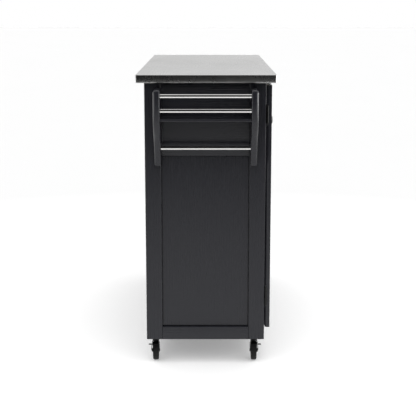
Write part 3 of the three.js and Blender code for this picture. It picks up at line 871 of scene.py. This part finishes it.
def rounded_bar(outline, low, high, low_round, high_round):
    """An outline in XZ drawn out along Y with round rims. Its first two points lie flat on a wall at +X."""
    n = len(outline)
    offsets = []
    for i, (x, z) in enumerate(outline):
        before = Vector((x - outline[i - 1][0], z - outline[i - 1][1])).normalized()
        after = Vector((outline[(i + 1) % n][0] - x, outline[(i + 1) % n][1] - z)).normalized()
        if i == 0:
            offsets.append(Vector((0, 1)))
        elif i == 1:
            offsets.append(Vector((0, -1)))
        else:
            inward = Vector((-before.y - after.y, before.x + after.x))
            offsets.append(inward / (1 + before.dot(after)))
    turns = [0, *quarter_turns(6)]
    rings = [(low_round * (1 - math.sin(t)), low + low_round * (1 - math.cos(t))) for t in turns]
    rings += [(high_round * (1 - math.cos(t)), high - high_round * (1 - math.sin(t))) for t in turns]
    corners = []
    for inset, y in rings:
        corners += [(x + inset * o.x, y, z + inset * o.y) for (x, z), o in zip(outline, offsets)]
    faces = []
    for ring in range(len(rings) - 1):
        faces += band(ring * n, (ring + 1) * n, n)
    last = (len(rings) - 1) * n
    faces += [tuple(range(n)), tuple(range(last, last + n))]
    return corners, faces


def make_arm(row):
    """A swept arm with well rounded rims, and a blind hole for each rod in its inner face."""
    node = f"rack_{row}_arm"
    lo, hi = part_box(node)
    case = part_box("left_end_front_stile")[0].x
    bend = hi.z - ARM_STRAIGHT
    waist = (case - 62 * MM, lo.z + 86 * MM)
    outline = [(hi.x, lo.z), (hi.x, hi.z)]
    outline += arc((lo.x + ARM_CORNER, hi.z - ARM_CORNER), ARM_CORNER, 90, 180, 8)
    outline.append((lo.x, bend))
    outline += quadratic((lo.x, bend), (lo.x + 8 * MM, bend - 32 * MM), waist, 6)
    outline += quadratic(waist, (case - 36 * MM, lo.z + 40 * MM), (case - 27 * MM, lo.z), 8)
    inner, inward = (hi.y, 1) if row == "front" else (lo.y, -1)
    rounds = (ARM_ROUND, INNER_ROUND) if row == "front" else (INNER_ROUND, ARM_ROUND)
    holes = []
    for rod in RODS:
        middle = rod_middle(rod)
        hole = disc(HOLE_RADIUS, 0, HOLE_DEPTH + 2 * MM, 0, 40)
        start = (middle.x, inner - inward * HOLE_DEPTH, middle.z)
        holes.append(moved(hole, pointing(start, (0, inward, 0))))
    arm = combined(rounded_bar(outline, lo.y, hi.y, *rounds), holes, "DIFFERENCE")
    piece(f"{node}_board", "cabinet", paint_z, [arm], sharp=32, replaces=[node])


def make_rod(rod):
    lo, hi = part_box(rod)
    middle = rod_middle(rod)
    bar = disc((hi.x - lo.x) / 2, 0, hi.y - lo.y, 0.6 * MM, 64)
    bar = moved(bar, pointing((middle.x, lo.y, middle.z), (0, 1, 0)))
    piece(f"{rod}_bar", "cabinet", rod_steel, [bar], replaces=[rod])


def make_rack_shelf():
    """A thin board with a well rounded front edge."""
    lo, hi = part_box("rack_shelf")
    nose = 3.6 * MM
    outline = rounded((lo.x, lo.z), (hi.x, hi.z), (nose, 0, 0, nose), 6)
    board = prism(outline, "Y", lo.y, hi.y)
    piece("rack_shelf_board", "cabinet", paint_y, [board], sharp=32, replaces=["rack_shelf"])


def make_rack():
    for row in ("front", "back"):
        make_arm(row)
    make_rack_shelf()
    for rod in RODS:
        make_rod(rod)


make_rack()

# ---------------- case boards

BOARD_ARRIS = 0.7 * MM

for finish, nodes in (
    (paint_x, ("deck", "front_top_rail", "front_bottom_rail", "left_shelf", "right_shelf")),
    (paint_z, ("left_divider", "right_divider")),
):
    for node in nodes:
        dress(node, finish, BOARD_ARRIS)

# ---------------- drawer boxes

BOX_WALL = 12 * MM
BOX_BASE = 6 * MM
BASE_LIFT = 2 * MM
BASE_SET_IN = 8 * MM
WALL_ARRIS = 0.6 * MM
GROOVE = (64 * MM, 76.9 * MM, 6 * MM)
GROOVE_START = 21.9 * MM
FINGERS = 5
FRONT_SCREWS = [(x * MM, z * MM) for x in (-150, 150) for z in (25, 90)]


def fingered(start, end, low, high, odd):
    """A board's outline with square fingers at both ends, which fit those of the board across it."""
    step = (high - low) / FINGERS
    rows = [(BOX_WALL if k % 2 == odd else 0, low + z * step) for k in range(FINGERS) for z in (k, k + 1)]
    return [(end - inset, z) for inset, z in rows] + [(start + inset, z) for inset, z in reversed(rows)]


def make_drawer_box(number):
    """Finger-jointed walls round a plywood base, with a runner groove along each side."""
    node = f"drawer_{number}_box"
    body = f"drawer_{number}"
    lo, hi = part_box(node)
    low, high, depth = GROOVE
    sides = []
    for outer, inward in ((lo.x, 1), (hi.x, -1)):
        limits = sorted((outer, outer + inward * BOX_WALL))
        board = prism(fingered(lo.y, hi.y, lo.z, hi.z, 0), "X", *limits)
        cut_x = sorted((outer - inward * MM, outer + inward * depth))
        groove = box((cut_x[0], lo.y + GROOVE_START, lo.z + low), (cut_x[1], hi.y + MM, lo.z + high))
        sides.append(combined(board, [groove], "DIFFERENCE"))
    ends = []
    for outer, inward in ((lo.y, 1), (hi.y, -1)):
        limits = sorted((outer, outer + inward * BOX_WALL))
        board = prism(fingered(lo.x, hi.x, lo.z, hi.z, 1), "Y", *limits)
        if inward < 0:
            grooves = [
                box((x0, hi.y - 2 * BOX_WALL, lo.z + low), (x1, hi.y + MM, lo.z + high))
                for x0, x1 in ((lo.x - MM, lo.x + depth), (hi.x - depth, hi.x + MM))
            ]
            board = combined(board, grooves, "DIFFERENCE")
        ends.append(board)
    into = BASE_SET_IN
    z0, z1 = lo.z + BASE_LIFT, lo.z + BASE_LIFT + BOX_BASE
    base = box((lo.x + into, lo.y + into, z0), (hi.x - into, hi.y - into, z1))
    piece(f"{node}_sides", body, wood_y, sides, WALL_ARRIS, replaces=[node])
    piece(f"{node}_ends", body, wood_x, ends, WALL_ARRIS)
    piece(f"{node}_base", body, plywood, [base], 0.4 * MM)
    inside = lo.y + BOX_WALL
    middle = (lo.x + hi.x) / 2
    knob_lo, knob_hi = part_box(f"drawer_{number}_knob")
    places = [(middle + x, inside, lo.z + z) for x, z in FRONT_SCREWS]
    places.append((middle, inside, (knob_lo.z + knob_hi.z) / 2))
    screws(f"{node}_screws", body, zinc_plate, places, (0, 1, 0), 3.8 * MM, 1.5 * MM)


for number in range(1, 5):
    make_drawer_box(number)

# ---------------- cupboard fittings

PIN_PITCH = 32 * MM
PIN_ROWS = range(-4, 5)
PIN_RADIUS = 2.5 * MM
PIN_BELOW = 2.6 * MM
PIN_FROM_FRONT = 10 * MM
PIN_FROM_BACK = 20 * MM
SLEEVE_RADIUS = 4 * MM
SLEEVE_BORE = 2.7 * MM
SLEEVE_PROUD = 0.5 * MM


def shelf_pin():
    """A steel pin about +Z, pushed into the wall at z = 0 up to its collar. The shelf lies on the pin."""
    stem = disc(PIN_RADIUS, -6 * MM, 7 * MM, 0.4 * MM, 20)
    collar = disc(3.6 * MM, 0.6 * MM, 1.8 * MM, 0.3 * MM, 24)
    return [stem, collar]


def sleeve():
    """A ring round a pin hole, standing a little out of the wall."""
    inner, outer, proud = SLEEVE_BORE, SLEEVE_RADIUS, SLEEVE_PROUD
    return lathe([(inner, 0), (outer, 0), (outer - 0.3 * MM, proud), (inner, proud)], 24, closed=True)


def make_shelf_fittings(side):
    """Four pins under a cupboard's shelf, in two rows of sleeved holes in each of its walls."""
    sign = SIDE_SIGN[side]
    lo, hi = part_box(f"{side}_shelf")
    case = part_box(f"{side}_end_front_stile")
    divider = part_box(f"{side}_divider")
    wall_x = case[1].x if sign < 0 else case[0].x
    divider_x = divider[0].x if sign < 0 else divider[1].x
    pins, sleeves = [], []
    for x, inward in ((wall_x, -sign), (divider_x, sign)):
        for y in (lo.y + PIN_FROM_FRONT, hi.y - PIN_FROM_BACK):
            for row in PIN_ROWS:
                place = pointing((x, y, lo.z - PIN_RADIUS + row * PIN_PITCH), (inward, 0, 0))
                sleeves.append(moved(sleeve(), place))
            pin_place = pointing((x, y, lo.z - PIN_BELOW), (inward, 0, 0))
            pins += [moved(shell, pin_place) for shell in shelf_pin()]
    piece(f"{side}_shelf_pins", "cabinet", zinc_plate, pins, sharp=40)
    piece(f"{side}_pin_sleeves", "cabinet", zinc_plate, sleeves, sharp=30)


CATCH_FROM_EDGE = 45 * MM
CATCH_HEIGHT = 13 * MM
CATCH_BEHIND_RAIL = 1.2 * MM
BUMPER_FROM_EDGE = 12 * MM
BUMPER_FROM_END = 14 * MM


def make_door_catch(side):
    """A magnet in a moulded housing under the top rail, its striker on the door, and two bumpers."""
    sign = SIDE_SIGN[side]
    rail_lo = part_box("front_top_rail")[0]
    door_lo, door_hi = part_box(f"{side}_door")
    free_x = door_hi.x if sign < 0 else door_lo.x
    x = free_x + sign * CATCH_FROM_EDGE
    y = rail_lo.y + CATCH_BEHIND_RAIL
    z = rail_lo.z
    low = z - CATCH_HEIGHT
    housing = box((x - 22 * MM, y, low), (x + 22 * MM, y + 15 * MM, z - 0.2 * MM))
    poles = [
        box((x - 16 * MM, y - 0.8 * MM, z + pole * MM), (x + 16 * MM, y + 4 * MM, z + (pole + 2) * MM))
        for pole in (-11, -4.6)
    ]
    outline = rounded((x - 19 * MM, low), (x + 19 * MM, z - MM), (3 * MM,) * 4)
    plate = prism(outline, "Y", door_hi.y, door_hi.y + 0.9 * MM)
    piece(f"{side}_catch_housing", "cabinet", hub_plastic, [housing], 1 * MM)
    piece(f"{side}_catch_poles", "cabinet", zinc_plate, poles, 0.2 * MM)
    piece(f"{side}_catch_striker", f"{side}_door", zinc_plate, [plate], 0.2 * MM)
    bumper_x = free_x + sign * BUMPER_FROM_EDGE
    dome = lathe([(0, 0), (4 * MM, 0), (3.8 * MM, 0.6 * MM), (2.6 * MM, 1.1 * MM), (0, 1.3 * MM)], 28)
    bumpers = [
        moved(dome, pointing((bumper_x, door_hi.y, height), (0, 1, 0)))
        for height in (door_lo.z + BUMPER_FROM_END, door_hi.z - BUMPER_FROM_END)
    ]
    piece(f"{side}_door_bumpers", f"{side}_door", tyre_rubber, bumpers, sharp=50)


for side in SIDE_SIGN:
    make_shelf_fittings(side)
    make_door_catch(side)


ARM_SCREWS = (0.2, 0.75)
SCREW_MARGIN = 8 * MM


def make_rack_screws():
    """The heads, inside the left cupboard, of the screws that hold the rack's arms."""
    places = []
    for row in ("front", "back"):
        lo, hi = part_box(f"rack_{row}_arm")
        stile_lo, stile_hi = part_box(f"left_end_{row}_stile")
        y = min(max((lo.y + hi.y) / 2, stile_lo.y + SCREW_MARGIN), stile_hi.y - SCREW_MARGIN)
        places += [(stile_hi.x, y, lo.z + share * (hi.z - lo.z)) for share in ARM_SCREWS]
    screws("rack_screws", "cabinet", zinc_plate, places, (1, 0, 0), 4.5 * MM, 1.6 * MM)


make_rack_screws()

# ---------------- casters
# Each caster is made in millimetres about its stem, on the floor, with its wheel trailing to +X.

TRAIL = 18.5
AXLE_HEIGHT = 31
FORK_OUT = 10.5
FORK_IN = 9.3
PIVOT = (10.5, 57)
SIDES = (-1, 1)


def about_y(shell, x, z, way=1):
    """Stands a shell made about +Z on a Y axis through (x, z)."""
    return moved(shell, pointing((x, 0, z), (0, way, 0)))


def nut(across, low, high):
    """A six-sided head with its corners turned off."""
    radius = across / math.sqrt(3)
    hexagon = [around(radius, math.radians(a)) for a in range(0, 360, 60)]
    blank = disc(radius * 0.985, low, high, 0.7)
    return combined(prism(hexagon, "Z", low - 1, high + 1), [blank], "INTERSECT")


def fork():
    """One strip of steel bent into a channel, and cut to a tapered leg on each side of the wheel."""
    bend, top, foot, thickness = 3.6, 73, 18, FORK_OUT - FORK_IN
    outer = [(FORK_OUT, foot)] + arc((FORK_OUT - bend, top - bend), bend, 0, 90, 6)
    outer += arc((-FORK_OUT + bend, top - bend), bend, 90, 180, 6) + [(-FORK_OUT, foot)]
    small = bend - thickness
    inner = [(-FORK_IN, foot)] + arc((-FORK_OUT + bend, top - bend), small, 180, 90, 6)
    inner += arc((FORK_OUT - bend, top - bend), small, 90, 0, 6) + [(FORK_IN, foot)]
    channel = prism(outer + inner, "X", -20, 32)
    side = [(-14, 75), (-14, 67.5)]
    side += quadratic((-14, 67.5), (-4.5, 63), (2, 50), 8)
    side += quadratic((2, 50), (7, 40), (TRAIL - 8.2, AXLE_HEIGHT + 1.5), 5)
    side += arc((TRAIL, AXLE_HEIGHT), 8.3, 172, 368, 14)
    side += quadratic((TRAIL + 8.2, AXLE_HEIGHT + 1.5), (TRAIL + 9, 50), (14, 66), 9)
    side.append((14, 75))
    return combined(channel, [prism(side, "Y", -15, 15)], "INTERSECT")


BALL = [(0, -1.15), (0.44, -1.06), (1.06, -0.44), (1.15, 0), (1.06, 0.44), (0.44, 1.06), (0, 1.15)]
BALL_COUNT = 16
BALL_CIRCLE = 8.2
BALL_HEIGHT = 77.1


def swivel_head():
    """Two dished plates on a ring of balls, with the stem above them."""
    lower = [
        (0, 72.6), (10, 72.6), (10.8, 73.4), (10.8, 74.3), (10.4, 75.2), (9.8, 76.6), (6.6, 76.6),
        (6, 75.4), (0, 75.4),
    ]
    upper = [
        (0, 76.4), (5.4, 76.4), (6.4, 77.6), (9.6, 77.6), (10.3, 78.4), (10.8, 79.6), (10.8, 80.8),
        (10.2, 81.7), (0, 81.7),
    ]
    ball = lathe(BALL, 10)
    turns = [2 * math.pi * k / BALL_COUNT for k in range(BALL_COUNT)]
    balls = [moved(ball, Matrix.Translation((*around(BALL_CIRCLE, t), BALL_HEIGHT))) for t in turns]
    return [lathe(lower, 48), lathe(upper, 48), disc(5, 75, 111.8), *balls]


def axle_parts():
    """A shaft through the fork, with a washer and a nut on each side."""
    washer = disc(6.2, FORK_OUT, FORK_OUT + 0.5, 0.15)
    head = nut(9, FORK_OUT + 0.4, FORK_OUT + 2.2)
    shaft = disc(3, -FORK_OUT, FORK_OUT, 0.3)
    parts = [about_y(shaft, TRAIL, AXLE_HEIGHT)]
    for part in (washer, head):
        parts += [about_y(part, TRAIL, AXLE_HEIGHT, way=way) for way in (1, -1)]
    return parts


def tyre():
    """Solid rubber with a crowned tread and a fine rib at each shoulder."""
    half = [
        (31, 0), (30.95, 3), (30.7, 5.6), (30.1, 7.4), (29.0, 8.5), (27.6, 8.9), (27.0, 8.6), (26.4, 8.95),
        (25.2, 8.7), (23.6, 7.9),
    ]
    return lathe([(r, -y) for r, y in reversed(half[1:])] + half, 72, closed=True)


def hub():
    """A moulded wheel centre: rim, thin web, ribs and a long bearing boss."""
    core = [
        (3.3, 9.1), (6.6, 9.1), (7.6, 8.5), (8.0, 7.2), (8.6, 2.6), (20.4, 2.2), (21.0, 7.2), (21.6, 7.9),
        (23.4, 7.9),
    ]
    core = [(r, -y) for r, y in core] + list(reversed(core))
    shells = [lathe(core, 60, closed=True)]
    for k in range(6):
        rib = box((8.2, -0.9, -6.2), (21, 0.9, 6.2))
        shells.append(moved(rib, Matrix.Rotation(math.pi * k / 3, 4, "Z")))
    return shells


LEVER_PLATE = 1.2
LEVER_MIDDLE = 13.5
LEVER_BOW = 34
LEVER_HEIGHT = 48.5
SHOE_RADIUS = 37
SHOE_ENDS = (172, 130)
TAB_END = 23


def lever_shoe():
    """The curved strip before the tread that presses on the wheel, and the strip that joins the sides."""
    low, high = SHOE_ENDS
    axle = (TRAIL, AXLE_HEIGHT)
    outline = arc(axle, SHOE_RADIUS, low, high, 10) + arc(axle, SHOE_RADIUS + 1.4, high, low, 10)
    return [prism(outline, "Y", -FORK_IN, FORK_IN), box((-9.3, -11.6, 56), (-7.9, 11.6, 58))]


def lever_sides(outside):
    """The lever's bowed side plates, which pivot on studs in the fork, and its foot tab."""
    low, high = SHOE_ENDS
    side = arc((TRAIL, AXLE_HEIGHT), SHOE_RADIUS + 1.4, low, high, 10)
    side += quadratic((-6.2, 60.4), (0, 62.6), (6, 62.2), 4)
    side += arc(PIVOT, 6, 108, -72, 12) + quadratic((12.3, 51.3), (5, 49), (0, 43), 5) + [(-6.5, 39)]
    eye = about_y(disc(2.7, -30, 30, 0.1, 24), *PIVOT)
    profile = prism(side, "Y", -TAB_END, TAB_END)
    parts = []
    for sign in SIDES:
        centre = (sign * (LEVER_MIDDLE - LEVER_BOW), LEVER_HEIGHT)
        ends = (-24, 24) if sign > 0 else (204, 156)
        bow = arc(centre, LEVER_BOW, *ends, 14) + arc(centre, LEVER_BOW - LEVER_PLATE, *reversed(ends), 14)
        plate = combined(prism(bow, "X", -22, 20), [profile], "INTERSECT")
        parts.append(combined(plate, [eye], "DIFFERENCE"))
    y0, y1 = sorted((outside * 11.6, outside * TAB_END))
    radii = (0, 0, 3.5, 3.5) if outside > 0 else (3.5, 3.5, 0, 0)
    tab = prism(rounded((-9.3, y0), (3.7, y1), radii), "Z", 56, 57.1)
    ribs = [box((-7.5 + 3.2 * k, y0 + 2, 56.9), (-6.5 + 3.2 * k, y1 - 2, 57.5)) for k in range(4)]
    return [*parts, tab, *ribs]


def make_caster(side, row):
    """One caster on its stem. Those at the rack end have a brake lever."""
    name = f"caster_{side}_{row}"
    stem = joint_at[f"{name}_swivel_turn"]
    turn = Matrix.Rotation(0 if side == "left" else math.pi, 4, "Z")
    stand = Matrix.Translation((stem.x, stem.y, 0)) @ turn @ Matrix.Scale(MM, 4)

    def at(shells):
        return [moved(shell, stand) for shell in shells]

    swivel, spin, brake = f"{name}_swivel", f"{name}_wheel", f"{name}_brake"
    yoke = f"{name}_yoke"
    piece(f"{name}_fork", swivel, caster_black, at([fork()]), 0.35 * MM, replaces=[yoke])
    piece(f"{name}_race", swivel, caster_black, at(swivel_head()), sharp=50)
    piece(f"{name}_axle", swivel, caster_black, at(axle_parts()), sharp=25)
    wheel_parts = [about_y(shell, TRAIL, AXLE_HEIGHT) for shell in [tyre(), *hub()]]
    node = f"{name}_wheel"
    piece(f"{name}_tyre", spin, tyre_rubber, at(wheel_parts[:1]), sharp=50, replaces=[node])
    piece(f"{name}_hub", spin, hub_plastic, at(wheel_parts[1:]), 0.3 * MM)
    if side == "left":
        outside = -1 if row == "front" else 1
        stud = disc(2.4, FORK_OUT - 1, FORK_OUT + 2.1, 0.3, 24)
        studs = [about_y(stud, *PIVOT, way=way) for way in SIDES]
        piece(f"{name}_studs", swivel, caster_black, at(studs), sharp=40)
        node = f"{name}_brake_lever"
        sides = at(lever_sides(outside))
        piece(f"{node}_sides", brake, zinc_plate, sides, 0.25 * MM, replaces=[node])
        piece(f"{node}_shoe", brake, caster_black, at(lever_shoe()), 0.25 * MM)


for side in SIDE_SIGN:
    for row in ("front", "back"):
        make_caster(side, row)

# ---------------- stage

SCENE.view_settings.view_transform = "Standard"

FLOOR_NEAR = -3.9
FLOOR_FAR = 40
# Painted bounce light: the floor's emission near the cart, and the distances where its fade starts and
# ends.
FLOOR_GLOW = 0.28
GLOW_START = 0.6
GLOW_REACH = 2.6


def make_floor():
    """A pale floor that glows near the cart: painted bounce light that lifts the cart's shadow, in place of
    what a white room would throw back.
    """
    mesh = bpy.data.meshes.new("floor")
    far = FLOOR_FAR
    corners = [(FLOOR_NEAR, -far, 0), (far, -far, 0), (far, far, 0), (FLOOR_NEAR, far, 0)]
    mesh.from_pydata(corners, [], [(0, 1, 2, 3)])
    g = Graph("studio_floor")
    cloud = g.noise(0.7, 2)
    place = g.node("ShaderNodeTexCoord", {}).outputs["Object"]
    away = g.node("ShaderNodeVectorMath", {0: place}, operation="LENGTH").outputs["Value"]
    material = g.shaded(
        Base_Color=g.blend(cloud, (0.80, 0.80, 0.80), (0.81, 0.81, 0.81)),
        Roughness=0.9,
        Emission_Color=(1, 1, 1, 1),
        # Painted bounce light: emission that fades with distance from the origin under the cart.
        Emission_Strength=g.remap(away, GLOW_START, GLOW_REACH, FLOOR_GLOW, 0),
        Specular_IOR_Level=0,
    )
    mesh.materials.append(material)
    floor = bpy.data.objects.new("floor", mesh)
    SCENE.collection.objects.link(floor)


STUDIO_HEIGHTS = (0.72, 0.95)
STUDIO_RADIANCE = (0.02, 1.0)
SIDE_SHARE, FRONT_SHARE, FAR_SHARE = 0.35, -0.5, 0.8


def make_world():
    """White to the camera. Reflections see a studio that is lit overhead and dark towards -X."""
    g = Graph("studio", "worlds")
    SCENE.world = g.owner
    g.tree.nodes.clear()
    way = g.node("ShaderNodeTexCoord", {}).outputs["Generated"]
    x, y, z = g.node("ShaderNodeSeparateXYZ", {0: way}).outputs
    side = g.math("MULTIPLY", g.math("ABSOLUTE", y), SIDE_SHARE)
    front = g.math("MAXIMUM", g.math("MULTIPLY", y, FRONT_SHARE))
    up = g.math("ADD", z, g.math("MULTIPLY", x, FAR_SHARE))
    height = g.math("ADD", up, g.math("ADD", side, front))
    glow = g.remap(height, *STUDIO_HEIGHTS, *STUDIO_RADIANCE, interpolation_type="SMOOTHSTEP")
    seen = g.node("ShaderNodeLightPath", {}).outputs["Is Camera Ray"]
    white = {"Color": (1, 1, 1, 1), "Strength": 1.0}
    studio = g.node("ShaderNodeBackground", white | {"Strength": glow}).outputs[0]
    plain = g.node("ShaderNodeBackground", white).outputs[0]
    mixed = g.node("ShaderNodeMixShader", {0: seen, 1: studio, 2: plain}).outputs[0]
    g.node("ShaderNodeOutputWorld", {0: mixed})


def make_sun(towards, spread, strength):
    """A very wide soft light from overhead. It isn't seen in reflections: the world is what they see."""
    data = bpy.data.lights.new("overhead", "SUN")
    data.angle = math.radians(spread)
    data.energy = strength
    light = bpy.data.objects.new("overhead", data)
    light.rotation_euler = Vector(towards).to_track_quat("Z", "Y").to_euler()
    light.visible_glossy = False
    SCENE.collection.objects.link(light)


SOFTBOX_SPAN = (-2.4, 0.9)


def make_softbox(name, y, low, high, radiance):
    """A broad light beside the cart that only reflections see."""
    x0, x1 = SOFTBOX_SPAN
    data = bpy.data.lights.new(name, "AREA")
    data.shape = "RECTANGLE"
    data.size = x1 - x0
    data.size_y = high - low
    data.energy = radiance * math.pi * data.size * data.size_y
    light = bpy.data.objects.new(name, data)
    light.location = ((x0 + x1) / 2, y, (low + high) / 2)
    light.rotation_euler = (math.radians(90 if y < 0 else -90), 0, 0)
    light.visible_camera = False
    light.visible_diffuse = False
    light.visible_transmission = False
    SCENE.collection.objects.link(light)


make_floor()
make_world()
make_sun(towards=(-0.8, 0, 1), spread=70, strength=2.3)
make_softbox("front_softbox", y=-2.2, low=0.4, high=1.6, radiance=5.0)
make_softbox("back_softbox", y=2.2, low=0.3, high=1.6, radiance=1.6)
